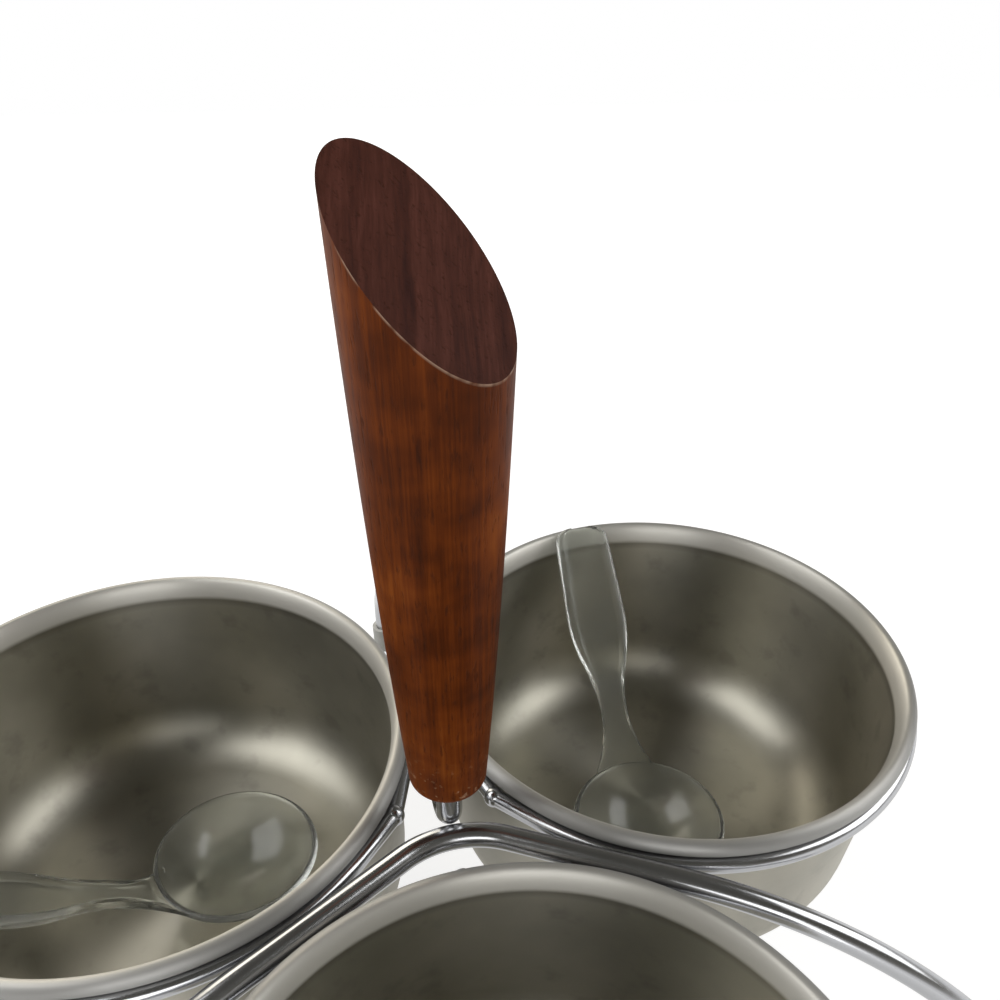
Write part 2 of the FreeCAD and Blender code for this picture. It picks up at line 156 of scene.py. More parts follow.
BOWL_AZIMUTHS = {"front": -90 * DEGREE, "right": 30 * DEGREE, "left": 150 * DEGREE}
LEG_AZIMUTHS = {"right": -30 * DEGREE, "back": 90 * DEGREE, "left": 210 * DEGREE}
SPOON_AZIMUTHS = {"front": -28 * DEGREE, "right": 91.4 * DEGREE, "left": 212 * DEGREE}
# Shares of the spoon's reach, and of the rim's radius
SPOON_REACHES = {"front": 1, "right": 1.05, "left": 0.98}
SPOON_OFFSETS = {"front": 0.05, "right": 0.1, "left": 0.137}
DISH_SPHERE = (DISH_RADIUS ** 2 + DISH_DEPTH ** 2) / (2 * DISH_DEPTH)
LIP_RADIUS = DISH_RADIUS * (1 - SPOON_WALL / DISH_SPHERE)
BLADE_RISE = BOWL_DEPTH - BOWL_WALL - SEAT_GAP - DISH_DEPTH
BLADE_SPAN = SPOON_REACH - LIP_RADIUS
BLADE_LIFT = math.asin((CURL + SEAT_GAP) / math.hypot(BLADE_RISE, BLADE_SPAN))
BLADE_SLOPE = math.atan(BLADE_RISE / BLADE_SPAN) + BLADE_LIFT


def polar(radius, azimuth, height=0.0):
    return Vector((radius * math.cos(azimuth), radius * math.sin(azimuth), height))


# Modelling by hand: a point or a loop is pulled straight and spun round bends


def deselect():
    bpy.ops.object.select_all(action="DESELECT")


def pick(piece):
    deselect()
    bpy.context.view_layer.objects.active = piece
    piece.select_set(True)


def select_mesh():
    bpy.ops.mesh.select_all(action="SELECT")


def edit(piece):
    pick(piece)
    bpy.ops.object.mode_set(mode="EDIT")
    select_mesh()


def done():
    bpy.ops.object.mode_set(mode="OBJECT")


def fresh(name):
    """Names the shape just added, puts its place in its mesh and opens it with all selected."""
    piece = bpy.context.object
    piece.name = name
    piece.data.name = name
    bpy.ops.object.transform_apply(location=True, rotation=True, scale=True)
    edit(piece)
    return piece


def start_point(name, at):
    deselect()
    bpy.ops.mesh.primitive_plane_add(size=MM, location=at)
    piece = fresh(name)
    bpy.ops.mesh.merge(type="CENTER")
    return piece


def start_loop(name, at, heading, radius):
    deselect()
    turn = heading.to_track_quat("Z", "Y").to_euler()
    bpy.ops.mesh.primitive_circle_add(vertices=WIRE_FACES, radius=radius, location=at,
                                      rotation=turn)
    return fresh(name)


def pull(step):
    bpy.ops.mesh.extrude_region_move(TRANSFORM_OT_translate={"value": step})


def spin(centre, axis, angle, steps):
    bpy.ops.mesh.spin(steps=steps, angle=-angle, center=centre, axis=axis)


def close_up():
    """Merges what meets, closes open ends and points every face outwards."""
    select_mesh()
    bpy.ops.mesh.remove_doubles(threshold=MERGE_DISTANCE)
    select_mesh()
    bpy.ops.mesh.fill_holes(sides=0)
    select_mesh()
    bpy.ops.mesh.normals_make_consistent(inside=False)
    done()


def smooth(piece, angle=SMOOTH_ANGLE):
    pick(piece)
    bpy.ops.object.shade_smooth_by_angle(angle=angle)


def copy_of(piece, name, placement):
    """Another one of the same piece with a mesh of its own, moved in its mesh."""
    twin = piece.copy()
    twin.data = piece.data.copy()
    twin.name = name
    twin.data.name = name
    bpy.context.scene.collection.objects.link(twin)
    twin.data.transform(placement)
    return twin


def combine(piece, tool, operation):
    """Cuts the tool from the piece or joins it on, and takes the tool away."""
    pick(piece)
    modifier = piece.modifiers.new("Boolean", "BOOLEAN")
    modifier.operation = operation
    modifier.object = tool
    modifier.solver = "EXACT"
    bpy.ops.object.modifier_apply(modifier=modifier.name)
    bpy.data.objects.remove(tool)


class Outline:
    """A profile in the XZ plane, drawn by lines and arcs, to be turned on a lathe."""

    def __init__(self, name, x, z):
        self.at = Vector((x, 0, z))
        self.piece = start_point(name, self.at)

    def line(self, x, z):
        target = Vector((x, 0, z))
        pull(target - self.at)
        self.at = target

    def arc(self, x, z, angle, steps):
        """Round the centre (x, z), anticlockwise for a positive angle with X right and Z up."""
        centre = Vector((x, 0, z))
        spin(centre, Vector((0, -1, 0)), angle, steps)
        arm = self.at - centre
        sine, cosine = math.sin(angle), math.cos(angle)
        across, along = arm.x * cosine - arm.z * sine, arm.x * sine + arm.z * cosine
        self.at = centre + Vector((across, 0, along))

    def turned(self, steps=LATHE_STEPS):
        select_mesh()
        spin(Vector(), UP, math.tau, steps)
        close_up()
        return self.piece


class BentWire:
    """A round wire grown from one end by straight runs and bends."""

    def __init__(self, name, start, heading):
        self.at, self.heading = start.copy(), heading.copy()
        self.piece = start_loop(name, start, heading, WIRE)

    def run(self, length):
        pull(self.heading * length)
        self.at += self.heading * length

    def bend(self, radius, angle, towards, steps):
        centre = self.at + towards * radius
        spin(centre, self.heading.cross(towards), angle, steps)
        sine, cosine = math.sin(angle), math.cos(angle)
        self.at = centre + (self.heading * sine - towards * cosine) * radius
        self.heading = self.heading * cosine + towards * sine

    def leg_up(self, inwards):
        self.run(FOOT_LENGTH)
        self.bend(ANKLE_RADIUS, ANKLE, inwards, ANKLE_STEPS)
        leaning = inwards * math.cos(ANKLE) - UP * math.sin(ANKLE)
        self.bend(SWEEP_RADIUS, SWEEP, leaning, SWEEP_STEPS)

    def leg_down(self):
        outwards = self.heading.copy()
        self.bend(SWEEP_RADIUS, SWEEP, -UP, SWEEP_STEPS)
        leaning = -outwards * math.sin(SWEEP) - UP * math.cos(SWEEP)
        self.bend(ANKLE_RADIUS, ANKLE, leaning, ANKLE_STEPS)
        self.run(FOOT_LENGTH)

    def finished(self):
        close_up()
        smooth(self.piece)
        return self.piece


def foot_point(side):
    return polar(FOOT_CIRCLE, LEG_AZIMUTHS[side], FOOT_FLOOR)


def front_leg_wire():
    right = LEG_AZIMUTHS["right"]
    wire = BentWire("front_wire", foot_point("right"), UP)
    wire.leg_up(-polar(1, right))
    run = RUN_START - APEX_RADIUS * math.tan(APEX_TURN / 2)
    wire.run(run)
    wire.bend(APEX_RADIUS, APEX_TURN, polar(1, right - RIGHT_ANGLE), APEX_STEPS)
    wire.run(run)
    wire.leg_down()
    return wire.finished()


def rear_leg_wire():
    wire = BentWire("rear_wire", foot_point("back"), UP)
    wire.leg_up(-polar(1, LEG_AZIMUTHS["back"]))
    wire.run(RUN_START - ELBOW_RADIUS)
    wire.bend(ELBOW_RADIUS, RIGHT_ANGLE, UP, ELBOW_STEPS)
    wire.run(HANDLE_BASE + POST_DEPTH - LEG_HEIGHT - ELBOW_RADIUS)
    return wire.finished()


def bowl_ring(side):
    """A ring whose straight ends meet on the side of the post, and the weld that joins them."""
    azimuth = BOWL_AZIMUTHS[side]
    centre = polar(BOWL_CIRCLE, azimuth, RING_HEIGHT)
    joint = azimuth + math.pi
    peak = centre + polar(RING_RADIUS / math.cos(RING_END), joint)
    hidden = math.sqrt(WELD_BALL ** 2 - RING_WIRE ** 2)
    straight = RING_RADIUS * math.tan(RING_END) - hidden
    heading = polar(1, joint + RING_END + RIGHT_ANGLE)
    ring = start_loop(f"ring_{side}_wire", peak + heading * hidden, heading, RING_WIRE)
    pull(heading * straight)
    spin(centre, UP, math.tau - 2 * RING_END, RING_STEPS)
    pull(polar(1, joint - RING_END + RIGHT_ANGLE) * straight)
    close_up()
    smooth(ring)
    deselect()
    bpy.ops.mesh.primitive_uv_sphere_add(segments=BEAD_FACES, ring_count=BEAD_BANDS,
                                         radius=WELD_BALL, location=peak)
    bead = fresh(f"ring_{side}_bead")
    done()
    smooth(bead)
    return ring, bead


def bowl():
    """One bowl at the origin: floor, round corner, tapered wall, rolled rim and its shoulder."""
    lean_cos, lean_sin = math.cos(BOWL_TAPER), math.sin(BOWL_TAPER)
    inside = CURL - BOWL_WALL
    drop = BOWL_DEPTH + inside * lean_sin - BOWL_CORNER
    floor = WALL_TOP - (drop * lean_sin + BOWL_CORNER) / lean_cos
    corner_turn = RIGHT_ANGLE - BOWL_TAPER
    shape = Outline("bowl", 0, 0)
    shape.line(floor, 0)
    shape.arc(floor, BOWL_CORNER, corner_turn, CORNER_STEPS)
    shape.line(CURL_CENTRE - inside * lean_cos, BOWL_DEPTH + inside * lean_sin)
    shape.arc(CURL_CENTRE, BOWL_DEPTH, -CURL_TURN, CURL_STEPS)
    reach = Vector((shape.at.x - CURL_CENTRE, shape.at.z - BOWL_DEPTH)).normalized() * CURL
    shape.line(CURL_CENTRE + reach.x, BOWL_DEPTH + reach.y)
    shape.arc(CURL_CENTRE, BOWL_DEPTH, CURL_TURN - corner_turn, CURL_STEPS)
    shoulder_width = CURL * lean_cos + RIM_BAND * lean_sin
    shoulder_base, shoulder_height = BOWL_DEPTH - RIM_BAND, RIM_BAND + CURL
    for step in range(1, SHOULDER_STEPS + 1):
        lean = RIGHT_ANGLE * step / SHOULDER_STEPS
        shape.line(CURL_CENTRE - shoulder_width * math.sin(lean),
                   shoulder_base + shoulder_height * math.cos(lean))
    corner_inside = BOWL_CORNER - BOWL_WALL
    shape.line(floor + corner_inside * lean_cos, BOWL_CORNER - corner_inside * lean_sin)
    shape.arc(floor, BOWL_CORNER, -corner_turn, CORNER_STEPS)
    shape.line(0, BOWL_WALL)
    piece = shape.turned()
    smooth(piece)
    return piece


def bowl_base(side):
    return polar(BOWL_CIRCLE, BOWL_AZIMUTHS[side], BOWL_BASE)


def foot_tip():
    shape = Outline("tip", 0, 0)
    shape.line(FOOT_RADIUS - FOOT_ROUND, 0)
    shape.arc(FOOT_RADIUS - FOOT_ROUND, FOOT_ROUND, RIGHT_ANGLE, TIP_STEPS)
    top = FOOT_FLOOR + FOOT_SOCKET
    shape.line(FOOT_RADIUS, top - FOOT_LIP)
    shape.arc(FOOT_RADIUS - FOOT_LIP, top - FOOT_LIP, RIGHT_ANGLE, TIP_LIP_STEPS)
    shape.line(BORE, top)
    shape.line(BORE, FOOT_FLOOR)
    shape.line(0, FOOT_FLOOR)
    piece = shape.turned(TIP_LATHE_STEPS)
    smooth(piece)
    return piece


LOW_SIDE = polar(1, HANDLE_CUT_AZIMUTH)
CUT_FACE = LOW_SIDE * math.sin(HANDLE_CUT_SLOPE) + UP * math.cos(HANDLE_CUT_SLOPE)
CUT_POINT = UP * (HANDLE_BASE + HANDLE_LENGTH) - LOW_SIDE * HANDLE_TOP_RADIUS


def wood_handle():
    """A tapered dowel bored for the post; its slanting cut shows wood of its own."""
    chord = math.hypot(HANDLE_LENGTH - HANDLE_ROUND, HANDLE_TOP_RADIUS - HANDLE_BASE_RADIUS)
    radius = chord ** 2 / (8 * HANDLE_BULGE) + HANDLE_BULGE / 2
    foot = Vector((HANDLE_BASE_RADIUS, HANDLE_ROUND))
    head = Vector((HANDLE_TOP_RADIUS, HANDLE_LENGTH))
    half = (head - foot) / 2
    inwards = Vector((-half.y, half.x)).normalized()
    centre = foot + half + inwards * (radius - HANDLE_BULGE)
    sweep = 2 * math.asin(half.length / radius)
    shape = Outline("handle", 0, POST_DEPTH)
    shape.line(BORE, POST_DEPTH)
    shape.line(BORE, 0)
    shape.line(HANDLE_BASE_RADIUS - HANDLE_ROUND, 0)
    shape.arc(HANDLE_BASE_RADIUS - HANDLE_ROUND, HANDLE_ROUND, RIGHT_ANGLE, HANDLE_ROUND_STEPS)
    shape.arc(centre.x, centre.y, sweep, HANDLE_STEPS)
    shape.line(HANDLE_TOP_RADIUS, HANDLE_LENGTH + OVERRUN)
    shape.line(0, HANDLE_LENGTH + OVERRUN)
    piece = shape.turned(HANDLE_LATHE_STEPS)
    piece.data.transform(Matrix.Translation(UP * HANDLE_BASE))
    edit(piece)
    bpy.ops.mesh.bisect(plane_co=CUT_POINT, plane_no=CUT_FACE, use_fill=True, clear_outer=True,
                        threshold=CUT_TOLERANCE)
    done()
    smooth(piece)
    for polygon in piece.data.polygons:
        polygon.material_index = int(polygon.normal.dot(CUT_FACE) > NEARLY_ONE)
    return piece


def blade_half_width(along):
    """Half the width of a spoon's handle at a place along it."""
    flare = (BLADE_WIDTH - NECK_WIDTH) / 2
    if along <= NECK_LENGTH:
        near = max((NECK_LENGTH - along) / (NECK_LENGTH + NECK_SPREAD), 0)
        return NECK_WIDTH / 2 + 2 * NECK_SPREAD * near ** 2
    if along >= BLADE_START:
        narrowing = (along - BLADE_START) / (BLADE_LENGTH - BLADE_CORNER - BLADE_START)
        return (BLADE_WIDTH + (BLADE_END_WIDTH - BLADE_WIDTH) * min(narrowing, 1)) / 2
    curve = ((BLADE_START - NECK_LENGTH) ** 2 + flare ** 2) / (4 * flare)
    middle = (NECK_LENGTH + BLADE_START) / 2
    if along < middle:
        return NECK_WIDTH / 2 + curve - math.sqrt(curve ** 2 - (along - NECK_LENGTH) ** 2)
    return BLADE_WIDTH / 2 - curve + math.sqrt(curve ** 2 - (BLADE_START - along) ** 2)


def spoon():
    """One spoon with its dish on the origin and its handle rising along +X."""
    opening = math.asin(DISH_RADIUS / DISH_SPHERE)
    middle = DISH_SPHERE - SPOON_WALL / 2
    lip = Vector((middle * math.sin(opening), DISH_SPHERE - middle * math.cos(opening)))
    shape = Outline("spoon", 0, 0)
    shape.arc(0, DISH_SPHERE, opening, DISH_STEPS)
    shape.arc(lip.x, lip.y, math.pi, LIP_STEPS)
    shape.arc(0, DISH_SPHERE, -opening, DISH_STEPS)
    dish = shape.turned(DISH_LATHE_STEPS)
    blade = blade_mesh()
    foot = Matrix.Translation((LIP_RADIUS, 0, DISH_DEPTH))
    blade.data.transform(foot @ Matrix.Rotation(-BLADE_SLOPE, 4, "Y"))
    deselect()
    bpy.ops.mesh.primitive_uv_sphere_add(segments=BALL_FACES, ring_count=BALL_BANDS,
                                         radius=middle, location=UP * DISH_SPHERE)
    combine(blade, bpy.context.object, "DIFFERENCE")
    combine(dish, blade, "UNION")
    smooth(dish, SPOON_SMOOTH_ANGLE)
    return dish


def blade_section():
    """The handle's section, a shallow channel, in shares of its half width and its height."""
    edge = CHANNEL_EDGE / (BLADE_WIDTH / 2)
    right = [(1 - edge - EDGE_ROUND, CHANNEL_FLOOR), (1 - edge, 1), (1 - EDGE_ROUND, 1),
             (1, SIDE_HEAD), (1, SIDE_FOOT), (1 - EDGE_ROUND, BELLY_RISE), (BELLY_WIDTH, 0)]
    left = [(-across, lift) for across, lift in reversed(right)]
    return left[2:] + [(0, CHANNEL_FLOOR)] + right + left[:2]


def blade_mesh():
    """The handle laid flat along +X: its section pulled along and fitted to the width there."""
    section = blade_section()
    at, height = -NECK_SPREAD, NECK_THICKNESS * BLADE_THICKNESS
    width = blade_half_width(at)
    deselect()
    bpy.ops.mesh.primitive_circle_add(vertices=len(section), radius=width)
    piece = fresh("blade")
    done()
    for vertex, (across, lift) in zip(piece.data.vertices, section):
        vertex.co = Vector((at, -across * width, lift * height))
    edit(piece)
    end = BLADE_LENGTH - BLADE_CORNER
    stations = [BLADE_STEP * step for step in range(math.ceil(end / BLADE_STEP))]
    for step in range(BLADE_END_STEPS + 1):
        stations.append(end + BLADE_CORNER * math.sin(RIGHT_ANGLE * step / BLADE_END_STEPS))
    for station in stations:
        pull(Vector((station - at, 0, 0)))
        into_corner = max((station - end) / BLADE_CORNER, 0)
        rounding = BLADE_CORNER * (1 - math.sqrt(max(1 - into_corner ** 2, 0)))
        wanted = blade_half_width(station) - rounding
        past_neck = min(station / NECK_LENGTH, 1)
        thick = BLADE_THICKNESS * (NECK_THICKNESS + (1 - NECK_THICKNESS) * past_neck)
        if into_corner > THIN_FROM:
            thick *= END_THICKNESS
        bpy.ops.transform.resize(value=(1, wanted / width, thick / height),
                                 center_override=(station, 0, 0))
        at, width, height = station, wanted, thick
    close_up()
    return piece


def spoon_placement(side):
    """The dish stands on the bowl's floor and rolls there until the handle lies on the rim."""
    azimuth, offset = SPOON_AZIMUTHS[side], SPOON_OFFSETS[side] * CURL_CENTRE
    setback = SPOON_REACHES[side] * SPOON_REACH - math.sqrt(CURL_CENTRE ** 2 - offset ** 2)
    nearest = setback + math.sqrt(CURL_CENTRE ** 2 - (offset + BLADE_WIDTH / 2) ** 2)
    rise = BOWL_DEPTH - BOWL_WALL - SEAT_GAP - DISH_SPHERE
    drop = LIP_RADIUS * math.sin(BLADE_SLOPE) + (DISH_SPHERE - DISH_DEPTH) * math.cos(BLADE_SLOPE)
    lift = math.asin((drop + CURL + SEAT_GAP) / math.hypot(nearest, rise))
    slope = math.atan2(rise, nearest) + lift
    stand = bowl_base(side) + polar(-setback, azimuth, BOWL_WALL + SEAT_GAP)
    stand += polar(offset, azimuth + RIGHT_ANGLE)
    pivot = UP * DISH_SPHERE
    turned = Matrix.Rotation(azimuth, 4, "Z") @ Matrix.Rotation(BLADE_SLOPE - slope, 4, "Y")
    return Matrix.Translation(stand + pivot) @ turned @ Matrix.Translation(-pivot)


# Materials: the scale of a noise is per millimetre, a range becomes 0 to 1, a share is of a mix

WHITE = (1, 1, 1)
# Detail of a noise, and its roughness
FINE, FINER = 3.0, 4.0
CLOSE = 0.6


def opaque(colour):
    return (*colour, 1.0)


class Value:
    """A shader value; arithmetic on it adds Math nodes."""

    def __init__(self, tree, socket):
        self.tree, self.socket = tree, socket

    def maths(self, operation, first, second):
        node = self.tree.nodes.new("ShaderNodeMath")
        node.operation = operation
        for slot, given in zip(node.inputs, (first, second)):
            if isinstance(given, Value):
                self.tree.links.new(given.socket, slot)
            else:
                slot.default_value = given
        return Value(self.tree, node.outputs[0])

    def __add__(self, other):
        return self.maths("ADD", self, other)

    def __radd__(self, other):
        return self.maths("ADD", other, self)

    def __rsub__(self, other):
        return self.maths("SUBTRACT", other, self)

    def __mul__(self, other):
        return self.maths("MULTIPLY", self, other)

    def __rmul__(self, other):
        return self.maths("MULTIPLY", other, self)


class Nodes:
    """The nodes of a material or of the world."""

    def __init__(self, tree):
        self.tree = tree

    def node(self, kind, settings=None, out=0, **inputs):
        """Adds a node: its settings first, then the values or links of its sockets."""
        made = self.tree.nodes.new("ShaderNode" + kind)
        for key, setting in (settings or {}).items():
            setattr(made, key, setting)
        for key, given in inputs.items():
            numbered = key[1:].isdigit()
            slot = made.inputs[int(key[1:]) if numbered else key.replace("_", " ")]
            if isinstance(given, Value):
                self.tree.links.new(given.socket, slot)
            else:
                slot.default_value = given
        return Value(self.tree, made.outputs[out])

    def vector(self, operation, first, second, out="Vector"):
        return self.node("VectorMath", {"operation": operation}, out, i0=first, i1=tuple(second))

    def length(self, vector):
        return self.node("VectorMath", {"operation": "LENGTH"}, "Value", i0=vector)

    def along(self, axis, vector):
        return self.node("SeparateXYZ", out=axis, Vector=vector)

    def place(self, centre=(0, 0, 0), stretch=(1, 1, 1)):
        """Object coordinates in millimetres about a centre, stretched."""
        moved = self.vector("SUBTRACT", self.node("TexCoord", out="Object"), centre)
        return self.vector("MULTIPLY", moved, [share / MM for share in stretch])

    def noise(self, vector, scale, detail=2.0, roughness=0.5):
        return self.node("TexNoise", Vector=vector, Scale=scale, Detail=detail, Roughness=roughness)

    def ramp(self, value, stops):
        """A colour that runs through stops, each a place on the ramp and the colour there."""
        colour = self.node("ValToRGB", i0=value)
        elements = colour.socket.node.color_ramp.elements
        while len(elements) < len(stops):
            elements.new(1.0)
        for element, (position, shade) in zip(elements, stops):
            element.position = position
            element.color = opaque(shade)
        return colour

    def mix(self, factor, first, second):
        return self.node("Mix", {"data_type": "RGBA"}, 2, i0=factor, i6=first, i7=second)

    def between(self, value, low, high):
        return self.node("MapRange", {"clamp": True}, i0=value, i1=low, i2=high)

    def about(self, value, middle, span):
        return self.between(value, middle + span[0], middle + span[1])

    def bump(self, height, distance, strength, **under):
        return self.node("Bump", Strength=strength, Distance=distance, Height=height, **under)


class Finish(Nodes):
    """A material with its shader and the nodes that feed it."""

    def __init__(self, name, **constants):
        self.material = bpy.data.materials.new(name)
        self.material.use_nodes = True
        super().__init__(self.material.node_tree)
        self.shader = self.tree.nodes["Principled BSDF"]
        for key, constant in constants.items():
            self.shader.inputs[key.replace("_", " ")].default_value = constant

    def feed(self, **inputs):
        for key, given in inputs.items():
            self.tree.links.new(given.socket, self.shader.inputs[key.replace("_", " ")])


CHROME = opaque((0.5, 0.505, 0.52))
CHROME_SPECK = opaque((0.32, 0.315, 0.30))
CHROME_ROUGHNESS = 0.17
SMEAR_SCALE, SMEAR_RANGE, SMEAR_ROUGHNESS = 0.09, (0.35, 0.75), 0.08
SPECK_SCALE, SPECK_RANGE, SPECK_ROUGHNESS = 1.6, (0.6, 0.75), 0.03
DULL_RANGE, DULL_SHARE = (0.62, 0.72), 0.12
RIPPLE_SCALE, RIPPLE_DEPTH, RIPPLE_STRENGTH = 0.35, 0.05 * MM, 0.15


def chrome():
    finish = Finish("bright_chrome", Metallic=1.0)
    place = finish.place()
    smear = finish.noise(place, SMEAR_SCALE, FINE)
    specks = finish.noise(place, SPECK_SCALE)
    finish.feed(Roughness=CHROME_ROUGHNESS
                + SMEAR_ROUGHNESS * finish.between(smear, *SMEAR_RANGE)
                + SPECK_ROUGHNESS * finish.between(specks, *SPECK_RANGE))
    dull = finish.between(specks, *DULL_RANGE)
    finish.feed(Base_Color=finish.mix(DULL_SHARE * dull, CHROME, CHROME_SPECK))
    ripple = finish.noise(place, RIPPLE_SCALE)
    finish.feed(Normal=finish.bump(ripple, RIPPLE_DEPTH, RIPPLE_STRENGTH))
    return finish.material


STEEL_DARK = opaque((0.36, 0.347, 0.295))
STEEL_LIGHT = opaque((0.46, 0.437, 0.372))
STEEL_SMUDGE = opaque((0.2, 0.19, 0.165))
# Painted shade: a dark band in the crease under the rim's shoulder
PAINTED_CREASE_SHADE = opaque((0.12, 0.115, 0.1))
# Painted highlight on the inner half of the rim's curl, and painted shade on its outer half
CURL_INSIDE_HIGHLIGHT = opaque((0.58, 0.565, 0.52))
CURL_OUTSIDE_SHADE = opaque((0.36, 0.355, 0.34))
BRUSHING, BRUSHING_TURN = 0.8, 0.25
STEEL_ROUGHNESS, RIM_ROUGHNESS, RIM_DULLING = 0.27, 0.08, 0.35
TURNING_SCALE, TURNING_DEPTH, TURNING_STRENGTH, TURNING_ROUGHNESS = 4.0, 0.03 * MM, 0.7, 0.05
WAVE_SCALE, WAVE_DEPTH, WAVE_STRENGTH = 0.4, 0.02 * MM, 0.5
PATCH_SCALE, PATCH_RANGE, PATCH_ROUGHNESS = 0.04, (0.35, 0.7), 0.08
SMUDGE_SCALE, SMUDGE_RANGE, SMUDGE_SHARE = 0.11, (0.56, 0.70), 0.3
HAZE_SCALE, HAZE_ROUGHNESS = 0.9, 0.06
CREASE_SHADE_SHARE = 0.45
# Millimetres above the rim's shoulder, and outwards from the middle of its curl
RIM_SPAN, CREASE_SHADE_SPAN, CURL_SHADING_SPAN = (-0.4, 0.8), (-2.2, -0.2), (-0.6, 0.9)


def satin_steel(name, centre):
    """Spun steel: turning marks round the bowl's axis and dull patches. The rolled rim gets a
    painted highlight on the inner half of its curl and painted shade on the outer half, with
    painted shade in the crease under its shoulder.
    """
    finish = Finish(name, Anisotropic=BRUSHING, Anisotropic_Rotation=BRUSHING_TURN)
    place = finish.place(centre)
    radius = finish.length(finish.vector("MULTIPLY", place, (1, 1, 0)))
    height = finish.along("Z", place)
    track = finish.node("CombineXYZ", X=radius, Y=height)
    turning = finish.noise(track, TURNING_SCALE, roughness=CLOSE)
    waves = finish.noise(track, WAVE_SCALE)
    patches = finish.noise(place, PATCH_SCALE, FINE)
    haze = finish.noise(place, HAZE_SCALE, FINE, CLOSE)
    smudges = finish.noise(place, SMUDGE_SCALE, FINE, CLOSE)
    shoulder = (BOWL_DEPTH - RIM_BAND) / MM
    rim = finish.about(height, shoulder, RIM_SPAN)
    # painted shade in the crease just under the rim's shoulder, where the rolled rim shades the
    # wall
    crease_shade = finish.about(height, shoulder, CREASE_SHADE_SPAN) * (1.0 - rim)
    # runs from the curl's inner half, given a painted highlight, to its outer half, given painted
    # shade
    highlight_to_shade = finish.about(radius, CURL_CENTRE / MM, CURL_SHADING_SPAN)
    colour = finish.mix(finish.between(patches, *PATCH_RANGE), STEEL_DARK, STEEL_LIGHT)
    smudge = finish.between(smudges, *SMUDGE_RANGE)
    colour = finish.mix(SMUDGE_SHARE * smudge, colour, STEEL_SMUDGE)
    colour = finish.mix(CREASE_SHADE_SHARE * crease_shade, colour, PAINTED_CREASE_SHADE)
    # the rim takes the painted highlight and painted shade of its curl in place of the steel's
    # colour
    colour = finish.mix(rim, colour, finish.mix(highlight_to_shade, CURL_INSIDE_HIGHLIGHT, CURL_OUTSIDE_SHADE))
    finish.feed(Base_Color=colour)
    finish.feed(Metallic=1.0 - RIM_DULLING * rim)
    finish.feed(Roughness=STEEL_ROUGHNESS + PATCH_ROUGHNESS * patches + HAZE_ROUGHNESS * haze
                + TURNING_ROUGHNESS * turning + RIM_ROUGHNESS * rim)
    wavy = finish.bump(waves, WAVE_DEPTH, WAVE_STRENGTH)
    finish.feed(Normal=finish.bump(turning, TURNING_DEPTH, TURNING_STRENGTH, Normal=wavy))
    return finish.material


# The handle's side and its slanting cut: shine, oil on it, shares of rings, fibres and clouds
SIDE_WOOD = {
    "shine": 0.1, "oil": 0.01, "shares": (0.2, 0.25, 0.55),
    "stops": ((0.34, (0.024, 0.006, 0.001)), (0.45, (0.078, 0.0155, 0.0015)),
              (0.55, (0.145, 0.031, 0.003)), (0.66, (0.24, 0.062, 0.008)))}
CUT_WOOD = {
    "shine": 0.06, "oil": 0.0, "shares": (0.45, 0.35, 0.2),
    "stops": ((0.35, (0.028, 0.008, 0.006)), (0.5, (0.061, 0.018, 0.0112)),
              (0.65, (0.1, 0.032, 0.022)))}
WOOD_PORE = opaque((0.03, 0.010, 0.005))
WOOD_WORN = opaque((0.42, 0.26, 0.16))
WOOD_CHIP = opaque((0.46, 0.32, 0.23))
WOOD_IOR, OIL_ROUGHNESS, OIL_CLOUD = 1.45, 0.3, 0.05
WOOD_ROUGHNESS, FIBRE_ROUGHNESS, PORE_ROUGHNESS = 0.45, 0.2, 0.15
LAYER_TURN, LAYER_STRETCH = 9 * DEGREE, (1, 0.1, 0.03)
WARP_SCALE, WARP_STRETCH, WARP_REACH = 0.07, (1, 1, 0.12), 4.0
RINGS_SCALE = 0.5
FIBRE_SCALE, FIBRE_KEENNESS, FIBRE_DEPTH, FIBRE_STRENGTH = 2.2, 0.65, 0.05 * MM, 0.4
PORE_SCALE, PORE_STRETCH, PORE_RANGE, PORE_SHARE = 1.7, (1, 1, 0.18), (0.56, 0.70), 0.5
PORE_DEPTH, PORE_STRENGTH = 0.08 * MM, 0.5
CLOUD_SCALE, CLOUD_STRETCH = 0.075, (0.7, 0.7, 0.9)
WORN_SCALE, WORN_RANGE, WORN_SHARE = 0.8, (0.60, 0.68), 0.7
CHIP_SCALE, CHIP_RANGE, CHIP_SHARE = 0.22, (0.44, 0.54), 0.65
# Millimetres above the handle's base, from unworn to worn, and from the cut's edge
WORN_HEIGHTS, CHIP_SPAN = (12.0, 2.0), (-0.3, -0.05)


